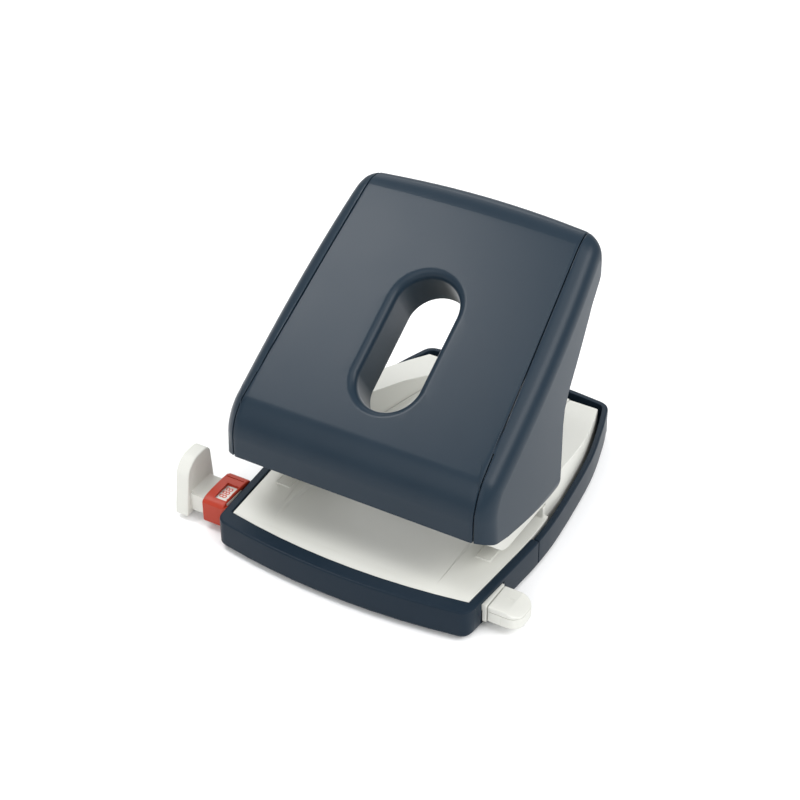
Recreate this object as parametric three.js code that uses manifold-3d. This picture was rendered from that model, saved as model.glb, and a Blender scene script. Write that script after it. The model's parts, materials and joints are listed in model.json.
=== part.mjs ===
// Two-hole paper punch for the desk: a padded lever handle, two punch heads, a paper guide and a chip tray.
// Millimetres, +Z up, X to the right, Y to the back. While it is drawn, Y = 0 is the line of the front
// corners; the whole group is then moved so that the origin is under the middle of the base.
import * as THREE from 'three';
import { ConvexGeometry } from 'three/addons/geometries/ConvexGeometry.js';
import { mergeVertices } from 'three/addons/utils/BufferGeometryUtils.js';
import Module from 'manifold-3d';

const wasm = await Module();
wasm.setup();

// ---- Driving dimensions ----
const gap = 0.3; // clearance between pieces that meet
const play = 0.1; // running clearance on a radius
const holePitch = 80; // between the two punched holes
const pinX = holePitch / 2;
const pinR = 2.75;
const throatDepth = 12; // hole centre to the paper stop
const stopY = 55;
const pinY = stopY - throatDepth;

const baseCentreY = 61;
const baseBottom = 1.2;
const rimTop = 12.5;
const rimWall = 3;
const trayWall = 2.2;
const floorThick = 1.6;
const seamY = 43; // where the front rim ends and the chip tray begins
const baseHalfWidth = 52.3; // at the seam
const bottomRound = 1.5;

const deckTop = 12.1;
const deckBottom = 9;
const markerRise = 0.25;
const stopTop = 16.4;
const stopThick = 2;
const recessHalf = 33;
const recessStartY = 6;
const recessSlope = 0.04;

const backY = 122; // where the back corners of the base begin to turn
const outside = 80; // cutters that pass right through reach this far from the middle

const pivotY = 20;
const pivotZ = 40;
const axleR = 2.5;

const throatTop = 16.9; // underside of the punch heads
const shellWall = 1.3;
const sheet = 1.3; // thickness of the folded steel parts
const wireR = 0.4;
const coilR = pinR + gap + wireR; // return spring, round the punch pin
const springRoom = coilR + wireR + 0.45;
const bracketOuter = pinX + springRoom + sheet;
const headHalf = bracketOuter + gap + shellWall; // outer face of the punch heads
const headInner = pinX - 9.5;
const headTop = 32;
const bracketInner = headInner + shellWall + gap;

const handleWall = 2;
const edgeRound = 6.5; // rounding of the handle's side edges
const rearRound = 9; // rounding of its rear edge
const handleSlope = Math.atan(0.63);
const noseRound = 16.5;
const noseY = 23.2;
const noseZ = 43;
const handleEndY = 93.3;
const backBow = 3.2; // how much further forward the grip's back corners are than its middle
const slotHalfWidth = 11.5;
const slotLength = 43; // inside ends, along Y
const slotCentreY = 44.3;
const slotDepth = 17;

const guideLow = 3.2;
const guideHigh = 10.2;
const guideFront = 7.5;
const guideBack = 20.3;
const scaleTop = 11.7; // raised scale on the bar, seen through the sleeve's window
const scaleFront = 8.4;
const scaleBack = 15.6;
const knobLength = 12.5;
const guideRight = baseHalfWidth + 11.6;
const fenceX = baseHalfWidth + 14.9; // inside face of the end stop from the middle, at its innermost setting
const fenceThick = 4;
const sleeveOuter = baseHalfWidth + 7.7;

// ---- Helpers ----
const toSolid = (geometry) => {
  const bare = geometry.index ? geometry.toNonIndexed() : geometry.clone();
  bare.deleteAttribute('normal');
  bare.deleteAttribute('uv');
  const merged = mergeVertices(bare, 1e-5);
  return new wasm.Manifold(
    new wasm.Mesh({
      numProp: 3,
      vertProperties: new Float32Array(merged.attributes.position.array),
      triVerts: new Uint32Array(merged.index.array),
    }),
  );
};

const toGeometry = (manifold) => {
  const mesh = manifold.getMesh();
  const geometry = new THREE.BufferGeometry();
  geometry.setAttribute('position', new THREE.BufferAttribute(new Float32Array(mesh.vertProperties), 3));
  geometry.setIndex(new THREE.BufferAttribute(new Uint32Array(mesh.triVerts), 1));
  return geometry;
};

const join = (...solids) => solids.reduce((whole, piece) => whole.add(piece));
const cut = (whole, ...tools) => tools.reduce((left, tool) => left.subtract(tool), whole);

// Box from two corners.
const box = (x0, x1, y0, y1, z0, z1) => {
  const geometry = new THREE.BoxGeometry(x1 - x0, y1 - y0, z1 - z0);
  geometry.translate((x0 + x1) / 2, (y0 + y1) / 2, (z0 + z1) / 2);
  return toSolid(geometry);
};

// The same box on either side: side is 1 for right and -1 for left, and x is measured from the middle.
const sideBox = (side, x0, x1, y0, y1, z0, z1) =>
  box(Math.min(side * x0, side * x1), Math.max(side * x0, side * x1), y0, y1, z0, z1);

const postZ = (x, y, r, z0, z1, sides = 24) => {
  const geometry = new THREE.CylinderGeometry(r, r, z1 - z0, sides);
  geometry.rotateX(Math.PI / 2);
  geometry.translate(x, y, (z0 + z1) / 2);
  return toSolid(geometry);
};

const rodX = (x0, x1, y, z, r, sides = 24) => {
  const geometry = new THREE.CylinderGeometry(r, r, Math.abs(x1 - x0), sides);
  geometry.rotateZ(Math.PI / 2);
  geometry.translate((x0 + x1) / 2, y, z);
  return toSolid(geometry);
};

// A flat outline of [y, z] points carried along X from x0 to x1.
const prismX = (points, x0, x1) => {
  const shape = new THREE.Shape(points.map(([y, z]) => new THREE.Vector2(y, z)));
  const geometry = new THREE.ExtrudeGeometry(shape, { depth: Math.abs(x1 - x0), bevelEnabled: false });
  geometry.applyMatrix4(new THREE.Matrix4().set(0, 0, 1, Math.min(x0, x1), 1, 0, 0, 0, 0, 1, 0, 0, 0, 0, 0, 1));
  return toSolid(geometry);
};

// A flat outline of [x, y] points carried up from z0 to z1.
const prismZ = (points, z0, z1) => {
  const shape = new THREE.Shape(points.map(([x, y]) => new THREE.Vector2(x, y)));
  const geometry = new THREE.ExtrudeGeometry(shape, { depth: z1 - z0, bevelEnabled: false });
  geometry.translate(0, 0, z0);
  return toSolid(geometry);
};

// A closed skin through rings of equal length, each a list of [x, y, z], capped at both ends.
const loft = (rings) => {
  const count = rings[0].length;
  const positions = rings.flat(2);
  const faces = [];
  for (let level = 0; level + 1 < rings.length; level += 1) {
    for (let i = 0; i < count; i += 1) {
      const a = level * count + i;
      const b = level * count + ((i + 1) % count);
      faces.push(a, b, b + count, a, b + count, a + count);
    }
  }
  const cap = (level, flip) => {
    const outline = rings[level].map(([x, y]) => new THREE.Vector2(x, y));
    for (const [a, b, c] of THREE.ShapeUtils.triangulateShape(outline, [])) {
      const start = level * count;
      faces.push(start + a, start + (flip ? c : b), start + (flip ? b : c));
    }
  };
  cap(0, true);
  cap(rings.length - 1, false);
  const geometry = new THREE.BufferGeometry();
  geometry.setAttribute('position', new THREE.Float32BufferAttribute(positions, 3));
  geometry.setIndex(faces);
  return toSolid(geometry);
};

const colours = {
  slate: ['#47535e', 0.45, 0],
  pale: ['#dcdcd6', 0.55, 0],
  red: ['#b84a34', 0.5, 0],
  steel: ['#a9adb0', 0.35, 0.9],
  rubber: ['#26282a', 0.9, 0],
};

const holePunch = new THREE.Group();
holePunch.position.y = -baseCentreY;

const addPart = (name, colour, solid) => {
  const [color, roughness, metalness] = colours[colour];
  const mesh = new THREE.Mesh(toGeometry(solid), new THREE.MeshStandardMaterial({ color, roughness, metalness }));
  mesh.name = name;
  holePunch.add(mesh);
};

const sides = [['left', -1], ['right', 1]];

// ---- Plan of the base ----
// A rounded front edge, sides that swell to the seam and draw in to the back, and a bowed back edge.
const basePlan = () => {
  const shape = new THREE.Shape();
  const w = baseHalfWidth;
  shape.moveTo(w - 6.3, -2);
  shape.quadraticCurveTo(w - 2.8, -1.4, w - 2.6, 3);
  const rightSide = [
    [w - 1.4, 20], [w, seamY], [w - 0.9, 63], [w - 4.6, backY - 30], [w - 9.2, backY - 11], [w - 12.7, backY],
  ];
  shape.splineThru(rightSide.map(([x, y]) => new THREE.Vector2(x, y)));
  shape.quadraticCurveTo(w - 13.7, backY + 4, w - 17.8, backY + 4.4);
  shape.quadraticCurveTo(0, backY + 8.6, 17.8 - w, backY + 4.4);
  shape.quadraticCurveTo(13.7 - w, backY + 4, 12.7 - w, backY);
  const leftSide = rightSide.slice(0, -1).reverse().map(([x, y]) => new THREE.Vector2(-x, y));
  shape.splineThru([...leftSide, new THREE.Vector2(2.6 - w, 3)]);
  shape.quadraticCurveTo(2.8 - w, -1.4, 6.3 - w, -2);
  shape.quadraticCurveTo(0, -10.4, w - 6.3, -2);
  const points = shape.getPoints(9).map((p) => [p.x, p.y]);
  return points.filter(([x, y], i) => {
    const [nextX, nextY] = points[(i + 1) % points.length];
    return Math.hypot(nextX - x, nextY - y) > 0.05;
  });
};
const plan = basePlan();

// The outline moved inwards by a distance.
const inset = (points, distance) =>
  points.map(([x, y], i) => {
    const [ax, ay] = points[(i + points.length - 1) % points.length];
    const [bx, by] = points[(i + 1) % points.length];
    const length = Math.hypot(bx - ax, by - ay);
    return [x - ((by - ay) / length) * distance, y + ((bx - ax) / length) * distance];
  });

// The same, without the points that fold over each other where a corner is tighter than the distance.
const distanceToEdge = (x, y, [ax, ay], [bx, by]) => {
  const share = ((x - ax) * (bx - ax) + (y - ay) * (by - ay)) / ((bx - ax) ** 2 + (by - ay) ** 2);
  const t = Math.min(1, Math.max(0, share));
  return Math.hypot(x - ax - t * (bx - ax), y - ay - t * (by - ay));
};
const insetClean = (points, distance) => {
  const kept = inset(points, distance).filter(([x, y]) =>
    points.every((point, i) => distanceToEdge(x, y, point, points[(i + 1) % points.length]) > distance * 0.97),
  );
  const spaced = [];
  for (const [x, y] of kept) {
    const [lastX, lastY] = spaced.at(-1) ?? kept.at(-1);
    if (Math.hypot(x - lastX, y - lastY) > 0.35) {
      spaced.push([x, y]);
    }
  }
  return spaced;
};

const atHeight = (points, z) => points.map(([x, y]) => [x, y, z]);

// The deck's front edge is set back behind a broad front band.
const deckFront = (x) => -0.3 + 4.4 * (x / 46.3) ** 2;
const deckPlan = (distance) =>
  insetClean(plan, distance).map(([x, y]) => [x, Math.max(y, deckFront(x) + distance - rimWall)]);

const baseBlock = loft([
  atHeight(inset(plan, bottomRound), baseBottom),
  atHeight(inset(plan, bottomRound * 0.3), baseBottom + bottomRound * 0.4),
  atHeight(plan, baseBottom + bottomRound),
  atHeight(plan, rimTop - 0.4),
  atHeight(inset(plan, 0.4), rimTop),
]);

const floorTop = baseBottom + floorThick;
const tongueY = seamY - 9; // front edge of the tray's floor, under the dies

// ---- Front rim ----
const guideTunnel = box(
  -outside, outside, guideFront - gap, guideBack + gap, guideLow - gap, guideHigh + gap,
);
const sleeveFront = 4.8;
const sleeveBack = 22.6;
const sleeveLow = 2.9;
const sleeveHigh = 11.4;
const sleeveMouth = box(
  -outside, 11.3 - baseHalfWidth, sleeveFront - gap, sleeveBack + gap, floorTop, sleeveHigh + gap,
);
const screwSpots = [[-36, 29.5], [-14, 29.5], [14, 29.5], [36, 29.5]];
const frontRim = () => {
  let rim = cut(
    baseBlock,
    box(-outside, outside, seamY, outside * 2.5, 0, 20),
    prismZ(deckPlan(rimWall), floorTop, 20),
    guideTunnel,
    sleeveMouth,
    prismZ(deckPlan(rimWall).map(([x, y]) => [x, Math.max(y, tongueY - gap)]), 0, 20),
  );
  for (const [x, y] of screwSpots) {
    rim = join(rim, postZ(x, y, 3.4, floorTop - 0.5, 3.9));
  }
  for (const [x, y] of screwSpots) {
    rim = cut(rim, postZ(x, y, 1.7, 0, 20), postZ(x, y, 3.1, 0, 2));
  }
  return rim;
};
addPart('front_rim', 'slate', frontRim());

// ---- Chip tray: the back of the rim with its floor, hinged at the back to drop open ----
const trayHingeY = backY - 1;
const trayHingeZ = 7.8;
const trayPinR = 1.2;
const trayEar = [20.3, 23];
const deckEar = [17, 20];
const chipTray = () => {
  const tongue = prismZ(
    insetClean(plan, rimWall + gap).filter(([, y]) => y > tongueY - 3).map(([x, y]) => [x, Math.max(y, tongueY)]),
    baseBottom, floorTop,
  );
  let tray = cut(
    baseBlock,
    box(-outside, outside, -20, seamY + gap, 0, 20),
    prismZ(insetClean(plan, trayWall), floorTop, 20),
  );
  tray = join(tray, tongue);
  for (const [, side] of sides) {
    const ear = sideBox(side, ...trayEar, trayHingeY - 2.2, trayHingeY + 4.5, floorTop - 0.5, trayHingeZ);
    tray = join(tray, ear, rodX(side * trayEar[0], side * trayEar[1], trayHingeY, trayHingeZ, 2.2));
  }
  return cut(tray, rodX(-trayEar[1] - 2, trayEar[1] + 2, trayHingeY, trayHingeZ, trayPinR + play));
};
addPart('chip_tray', 'slate', chipTray());
for (const [name, side] of sides) {
  const pin = rodX(side * (deckEar[0] - 0.4), side * (trayEar[1] + 0.4), trayHingeY, trayHingeZ, trayPinR);
  addPart(`tray_pin_${name}`, 'steel', pin);
}

// ---- Deck the paper lies on, with its sunk middle, hole markers and paper stop ----
const deckEnd = stopY + stopThick;
const deckInset = rimWall + gap;
const deck = () => {
  const outline = deckPlan(deckInset).map(([x, y]) => [x, Math.min(y, deckEnd)]);
  let plate = prismZ(outline, deckBottom, deckTop);
  plate = cut(plate, box(-outside, outside, -20, guideBack + 2, 0, guideHigh + 0.4));
  const drop = recessSlope * (deckEnd + 3 - recessStartY);
  const recess = new ConvexGeometry(
    [-1, 1].flatMap((s) => [
      new THREE.Vector3(s * recessHalf, recessStartY, deckTop),
      new THREE.Vector3(s * recessHalf, deckEnd + 3, deckTop),
      new THREE.Vector3(s * (recessHalf - 3.5), deckEnd + 3, deckTop - drop),
      new THREE.Vector3(s * recessHalf, recessStartY, deckTop + 3),
      new THREE.Vector3(s * recessHalf, deckEnd + 3, deckTop + 3),
    ]),
  );
  plate = cut(plate, toSolid(recess));
  for (const [, side] of sides) {
    plate = join(plate, sideBox(side, pinX - pinR, pinX + pinR, 25.6, pinY, deckTop - 0.5, deckTop + markerRise));
    plate = join(plate, postZ(side * 42.5, 23.8, 1.8, floorTop + gap, deckTop - 1));
    plate = join(plate, postZ(side * 14, 23.8, 1.8, floorTop + gap, deckBottom + 1));
  }
  plate = join(plate, box(4.8 - baseHalfWidth, baseHalfWidth - 4.8, stopY, deckEnd, deckBottom, stopTop));
  for (const [, side] of sides) {
    plate = cut(plate, postZ(side * pinX, pinY, pinR + 0.5, 0, 20));
  }
  return plate;
};
addPart('paper_deck', 'pale', deck());

// ---- Steel base plate and dies ----
const plateLow = 4.2;
const plateHigh = plateLow + 1.5;
const plateHalf = bracketOuter - 0.6;
const plateBack = 64;
const basePlate = () => {
  let plate = box(-plateHalf, plateHalf, 26.5, plateBack, plateLow, plateHigh);
  for (const [, side] of sides) {
    plate = cut(plate, postZ(side * pinX, pinY, pinR + 1.5, 0, 20));
  }
  for (const [x, y] of screwSpots) {
    plate = cut(plate, postZ(x, y, 1.7, 0, 20));
  }
  return plate;
};
addPart('base_plate', 'steel', basePlate());
const dieLow = plateHigh + gap;
const dieHigh = deckBottom - gap;
for (const [name, side] of sides) {
  const die = sideBox(side, pinX - 7, pinX + 5.5, pinY - 7, pinY + 7, dieLow, dieHigh);
  addPart(`die_${name}`, 'steel', cut(die, postZ(side * pinX, pinY, pinR + play, 0, 20, 36)));
}
screwSpots.forEach(([x, y], i) => {
  const screw = join(postZ(x, y, 2.8, baseBottom, 1.9), postZ(x, y, 1.4, 1.5, plateHigh + 1.5));
  const slotCut = box(x - 2, x + 2, y - 0.4, y + 0.4, 0, baseBottom + 0.4);
  addPart(`base_screw_${i + 1}`, 'steel', cut(screw, slotCut));
});

// ---- Punch brackets: two walls and two guide shelves, open at the front for the paper ----
const lowShelf = throatTop + 1.7;
const highShelf = 26.5;
const bracketProfile = [
  [57.5, plateHigh + gap], [63, plateHigh + gap], [63, 22.5], [57, 24.2], [57, 30], [50, 44], [46, pivotZ + 6.5],
  [pivotY, pivotZ + 6.5], [15.4, pivotZ + 4.6], [13.5, pivotZ], [17.5, 31.5], [19.4, 28.8], [24, 24.1],
  [27.7, 20.4], [31.7, lowShelf], [57.5, lowShelf],
];
for (const [name, side] of sides) {
  let bracket = join(
    prismX(bracketProfile, side * bracketInner, side * (bracketInner + sheet)),
    prismX(bracketProfile, side * (bracketOuter - sheet), side * bracketOuter),
    sideBox(side, bracketInner + 0.1, bracketOuter - 0.1, 34, 57.5, lowShelf, lowShelf + sheet),
    sideBox(side, bracketInner + 0.1, bracketOuter - 0.1, 36, 50, highShelf, highShelf + sheet),
    sideBox(side, bracketInner + 0.1, bracketOuter - 0.1, 57.5, 63, plateHigh + gap, plateHigh + gap + sheet),
  );
  bracket = cut(
    bracket,
    postZ(side * pinX, pinY, pinR + play, 0, 40, 36),
    rodX(side * (bracketInner - 1), side * (bracketOuter + 1), pivotY, pivotZ, axleR + play),
  );
  addPart(`punch_bracket_${name}`, 'steel', bracket);
}
addPart('pivot_axle', 'steel', rodX(-bracketOuter - 1.4, bracketOuter + 1.4, pivotY, pivotZ, axleR));
for (const [name, side] of sides) {
  const clipStart = bracketOuter + gap;
  const clip = rodX(side * clipStart, side * (clipStart + 0.8), pivotY, pivotZ, axleR + 2.1);
  const bore = rodX(side * bracketOuter, side * (bracketOuter + 3), pivotY, pivotZ, axleR + play);
  addPart(`axle_clip_${name}`, 'steel', cut(clip, bore));
}

// ---- Punch pins and their return springs ----
const pinTip = throatTop - 0.1;
const headLow = 42;
const headHigh = 44;
for (const [name, side] of sides) {
  const pin = join(
    postZ(side * pinX, pinY, pinR, pinTip, headLow + 0.5, 36),
    postZ(side * pinX, pinY, coilR + wireR, headLow, headHigh),
  );
  const hollow = toSolid(new THREE.CylinderGeometry(pinR * 0.8, 0.2, 1.6, 18).rotateX(-Math.PI / 2)
    .translate(side * pinX, pinY, pinTip));
  addPart(`punch_pin_${name}`, 'steel', cut(pin, hollow));

  const turns = 6;
  const low = highShelf + sheet + gap + wireR;
  const high = headLow - gap - wireR;
  const steps = turns * 11;
  const path = Array.from({ length: steps + 1 }, (_, i) => {
    const angle = (i / steps) * turns * 2 * Math.PI;
    return new THREE.Vector3(
      side * pinX + coilR * Math.cos(angle), pinY + coilR * Math.sin(angle), low + ((high - low) * i) / steps,
    );
  });
  const wire = new THREE.Shape();
  wire.absarc(0, 0, wireR, 0, 2 * Math.PI);
  const coil = new THREE.ExtrudeGeometry(wire, {
    steps, curveSegments: 3, bevelEnabled: false, extrudePath: new THREE.CatmullRomCurve3(path),
  });
  addPart(`return_spring_${name}`, 'steel', toSolid(coil));
}

// ---- Punch-head covers with the sloping wings behind them ----
const wingStart = deckEnd + gap;
const wingEnd = backY - 0.5;
const wingInner = [
  [headInner - 6.2, backY], [headInner - 5.9, backY - 13], [headInner + 0.5, backY - 28], [headInner + 4.3, 77],
  [headInner + 4.3, 66], [headInner, 64], [headInner, wingStart],
];
const wingTop = [
  [wingStart, 27], [60, 26], [75, 22.6], [backY - 24, 17.4], [backY - 13, 15], [wingEnd, 12.3],
];
const wingMoat = 1.5;
const headProfile = [
  [14.6, headTop], [15.2, 30.5], [17.5, 26.8], [22.4, 21.8], [26.3, 18.2], [30.5, throatTop],
  [58.2, throatTop], [58.2, headTop],
];
const headHollow = [
  [15.9, 60], [16.4, 31.6], [18.5, 28], [23.3, 23.1], [27.1, 19.4], [31, throatTop + shellWall],
  [70, throatTop + shellWall], [70, 60],
];
const wingLow = floorTop + 0.5;
for (const [name, side] of sides) {
  const flip = (points) => points.map(([x, y]) => [side * x, y]);
  const outerPlan = (extra) => insetClean(plan, trayWall + wingMoat + extra);
  const upTo = (extra) => {
    const sidePlan = [...wingInner, [outside, wingStart], [outside, backY]].map(([x, y], i) => {
      const isInner = i < wingInner.length;
      return [isInner ? x + extra : x, y];
    });
    return prismZ(flip(sidePlan), 0, 60).intersect(prismZ(outerPlan(extra), 0, 60));
  };
  const wingOutline = [...wingTop, [wingEnd, wingLow], [wingStart, wingLow]].reverse();
  const wingBody = prismX(wingOutline, side * 20, side * headHalf);
  const wingSpace = prismX(
    [...wingTop.map(([y, z]) => [y, z - shellWall]), [backY, 0], [wingStart, 0]].reverse(),
    side * 20, side * (headHalf - shellWall),
  );
  const hollow = wingSpace
    .intersect(upTo(shellWall))
    .intersect(box(-outside, outside, wingStart + shellWall, backY - shellWall, 0, 60));
  const head = cut(
    prismX(headProfile, side * headInner, side * headHalf),
    prismX(headHollow, side * (headInner + shellWall), side * (headHalf - shellWall)),
  );
  let cover = join(cut(wingBody.intersect(upTo(0)), hollow), head);
  cover = cut(
    cover,
    sideBox(side, headInner + shellWall, headHalf - shellWall, 50, 64, 0, throatTop),
    sideBox(side, headInner - 1, plateHalf + gap, 50, plateBack + gap, 0, plateHigh + gap),
    sideBox(side, headInner + shellWall, headHalf - shellWall, 50, 63.4, throatTop, 24),
    sideBox(side, headInner + shellWall, headHalf - shellWall, 50, 57.6, throatTop + shellWall, 60),
    postZ(side * pinX, pinY, pinR + 0.5, 0, 24),
  );
  addPart(`head_cover_${name}`, 'pale', cover);
}

// ---- Deck between the wings, rising to the back edge, with the ears of the tray hinge ----
const rearDeck = () => {
  const low = 8.2;
  const top = [[wingStart, low + 1.6], [backY - 28, low + 1.6], [backY - 14, 12.3], [backY, 12.3]];
  const bottom = [[backY, 10.6], [backY - 15, 10.6], [backY - 28, low], [wingStart, low]];
  const body = prismX([...top, ...bottom].reverse(), -40, 40);
  const between = wingInner.map(([x, y]) => [x - gap, y]);
  const mirrored = between.map(([x, y]) => [-x, y]).reverse();
  let plate = body.intersect(prismZ([...between, ...mirrored].reverse(), 0, 60));
  for (const [, side] of sides) {
    plate = join(
      plate,
      sideBox(side, ...deckEar, trayHingeY - 2.2, trayHingeY + 1, trayHingeZ, 11.5),
      rodX(side * deckEar[0], side * deckEar[1], trayHingeY, trayHingeZ, 2.2),
    );
  }
  return cut(plate, rodX(-outside, outside, trayHingeY, trayHingeZ, trayPinR + play));
};
addPart('rear_deck', 'pale', rearDeck());

// ---- Handle ----
// The handle's sides bulge a little: by nothing at crownStart and by the most half way along crownLength.
const sideCrown = 1.8;
const crownStart = 10;
const crownLength = 95;
const crown = (y) => sideCrown * Math.max(0, Math.sin((Math.PI * (y - crownStart)) / crownLength));
// The sides also draw together towards the rear and towards the top.
const drawInPerY = 0.0325;
const drawInPerZ = 0.0422;
const sideX = (y, z) => baseHalfWidth + 1 - drawInPerY * y - drawInPerZ * z + crown(y);
const surfaceZ = (y) => 76 + Math.tan(handleSlope) * (y - 45);
// Directions, in degrees, in which balls are set round the nose and round the rear edge.
const noseTurns = [215, 199.5, 184, 168.5, 153, 137.5, 122];
const rearTurns = [-60, -20, 20, 60, 90, 122];
const endZ = surfaceZ(handleEndY) - rearRound / Math.cos(handleSlope);

// The outer form is the hull of balls set along the nose, the back end and two low corners.
const handleForm = (skin) => {
  const ballR = edgeRound - skin;
  const ball = new THREE.SphereGeometry(ballR, 20, 12);
  const corners = new Float32Array(ball.attributes.position.array);
  const points = [];
  const addBall = (x, y, z) => {
    for (let i = 0; i < corners.length; i += 3) {
      points.push(new THREE.Vector3(corners[i] + x, corners[i + 1] + y, corners[i + 2] + z));
    }
  };
  const bow = noseRound - edgeRound;
  for (const side of [-1, 1]) {
    for (const degrees of noseTurns) {
      const turn = (degrees * Math.PI) / 180;
      const y = noseY + bow * Math.cos(turn);
      const z = noseZ + bow * Math.sin(turn);
      addBall(side * (sideX(y, z) - edgeRound), y, z);
    }
    for (const y of [34, 50, 66, 80]) {
      const z = surfaceZ(y) - edgeRound / Math.cos(handleSlope);
      addBall(side * (sideX(y, z) - edgeRound), y, z);
    }
    for (const x of [0, 12, 24, sideX(handleEndY, endZ) - edgeRound - 0.5]) {
      const back = backBow * (x / 40) ** 2;
      for (const degrees of rearTurns) {
        const turn = (degrees * Math.PI) / 180;
        const y = handleEndY - back + (rearRound - edgeRound) * Math.cos(turn);
        const z = endZ - back * Math.tan(handleSlope) + (rearRound - edgeRound) * Math.sin(turn);
        addBall(side * x, y, z);
      }
    }
    addBall(side * (sideX(20, 10) - edgeRound), 26, 10);
    addBall(side * (sideX(75, 10) - edgeRound), 80, 10);
  }
  return toSolid(new ConvexGeometry(points));
};

const underside = [
  [7.6, 35], [12, 33], [20.4, 30.8], [36.6, 28.4], [54, 26], [56.6, 26.3], [57.6, 28.5], [59.3, 39.7],
  [60.6, 49.9], [62.4, 55.9], [65.9, 61], [72.2, 67.8], [85.8, 83.4], [95, 91], [110, 99],
];
const handleKeep = prismX([[-5, 120], [-5, 38], ...underside, [110, 120]], -outside, outside);
const handleShell = cut(handleForm(0), handleForm(handleWall)).intersect(handleKeep);

const seamX = (y) => baseHalfWidth - 5.6 - 0.066 * y;
const middle = (clearance) =>
  prismZ(
    [
      [-seamX(-10) - clearance, -10], [seamX(-10) + clearance, -10],
      [seamX(120) + clearance, 120], [-seamX(120) - clearance, 120],
    ],
    0, 130,
  );

// The finger slot is square to the sloping top, so its rings are laid out flat and then tilted.
const stadium = (halfWidth, halfStraight, depth) => {
  const ring = [];
  const arc = 8;
  for (const end of [1, -1]) {
    for (let i = 0; i <= arc; i += 1) {
      const angle = (i / arc) * Math.PI + (end < 0 ? Math.PI : 0);
      ring.push([halfWidth * Math.cos(angle), end * halfStraight + halfWidth * Math.sin(angle), -depth]);
    }
  }
  return ring;
};
const slotStraight = slotLength / Math.cos(handleSlope) / 2 - slotHalfWidth;
const tilt = (solid) => {
  const place = new THREE.Matrix4()
    .makeTranslation(0, slotCentreY, surfaceZ(slotCentreY))
    .multiply(new THREE.Matrix4().makeRotationX(handleSlope));
  return solid.transform(place.elements);
};
const slotBar = (halfWidth, top, bottom) =>
  tilt(loft([stadium(halfWidth, slotStraight, bottom), stadium(halfWidth, slotStraight, top)]));
const funnel = tilt(
  loft([
    stadium(slotHalfWidth, slotStraight, 4),
    stadium(slotHalfWidth + 0.25, slotStraight, 2.6),
    stadium(slotHalfWidth + 1, slotStraight, 1.2),
    stadium(slotHalfWidth + 2.5, slotStraight + 0.2, 0),
    stadium(slotHalfWidth + 3, slotStraight + 0.3, -2),
  ]),
);

const tubeWall = 1.8;
const handleCover = () => {
  const skin = handleShell.intersect(middle(-gap / 2));
  const tube = slotBar(slotHalfWidth + tubeWall + 1.2, 0.6, slotDepth);
  return cut(join(skin, tube), slotBar(slotHalfWidth, -5, slotDepth + 5), funnel);
};
addPart('handle_cover', 'slate', handleCover());
for (const [name, side] of sides) {
  const half = sideBox(side, 0, outside, -20, 130, 0, 130);
  addPart(`handle_cheek_${name}`, 'slate', cut(handleShell, middle(gap / 2)).intersect(half));
}

// Panel that closes the underside of the grip.
const insideHandle = handleForm(handleWall + gap);
const slotRoom = slotBar(slotHalfWidth + tubeWall + 1.2 + gap, -5, 40);
const panelLine = [[63.5, 60.5], [71.2, 68.8], [84.8, 84.4], [94, 92.2], [104, 98]];
const panel = () => {
  const inner = panelLine.map(([y, z]) => [y - 1.2, z + 1.2]).reverse();
  return cut(prismX([...panelLine, ...inner], -outside, outside).intersect(insideHandle), slotRoom);
};
addPart('handle_underside', 'slate', panel());

// Steel lever: a plate under the cover, a folded flange on each side and a round-nosed press lug.
const leverDepth = 5.5;
const lugR = 2;
const leverHalf = bracketInner + 2 * sheet + gap + 1;
const lugZ = headHigh + gap + lugR;
const lever = () => {
  const drop = leverDepth / Math.cos(handleSlope);
  const lineZ = (y) => surfaceZ(y) - drop;
  const plate = prismX(
    [[24, lineZ(24) - 1.6], [80, lineZ(80) - 1.6], [80, lineZ(80)], [24, lineZ(24)]], -leverHalf, leverHalf,
  );
  const flange = [
    [15, pivotZ - 2.5], [pivotY, pivotZ - 5.2], [25, pivotZ - 3], [36, headHigh + 1], [49, headHigh + 1],
    [62, 66], [80, lineZ(80) - 3], [80, lineZ(80)], [24, lineZ(24)], [15.5, pivotZ + 6.5],
  ];
  let frame = plate;
  for (const [, side] of sides) {
    const inner = bracketInner + sheet + gap + 0.4;
    frame = join(
      frame,
      prismX(flange, side * inner, side * (inner + sheet)),
      rodX(side * inner, side * (pinX + 3.9), pinY, lugZ, lugR),
    );
  }
  return cut(frame, slotRoom, rodX(-outside, outside, pivotY, pivotZ, axleR + play));
};
addPart('lever_frame', 'steel', lever());

// ---- Paper guide: bar, end stop and the end piece on the right ----
const scaleEnd = 1.4 - baseHalfWidth;
const bar = () =>
  join(
    cut(
      box(-fenceX - gap, guideRight - knobLength, guideFront, guideBack, guideLow, guideHigh),
      box(-fenceX + 12, guideRight - knobLength - 4, guideFront + 1.5, guideBack - 1.5, 0, guideHigh - 2),
    ),
    box(0.2 - sleeveOuter, scaleEnd, scaleFront, scaleBack, guideHigh - 1, scaleTop),
  );
addPart('guide_bar', 'pale', bar());
const fenceProfile = () => {
  const shape = new THREE.Shape();
  shape.moveTo(4.5, 1.8);
  shape.lineTo(22, 1.8);
  shape.lineTo(20.6, 19);
  shape.quadraticCurveTo(20, 23.6, 16, 23.6);
  shape.lineTo(12.5, 23.1);
  shape.quadraticCurveTo(7.6, 21.6, 7.2, 17);
  return shape.getPoints(8).map((p) => [p.x, p.y]);
};
addPart('end_stop', 'pale', prismX(fenceProfile(), -fenceX - 2 * gap, -fenceX - 2 * gap - fenceThick));
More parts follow.
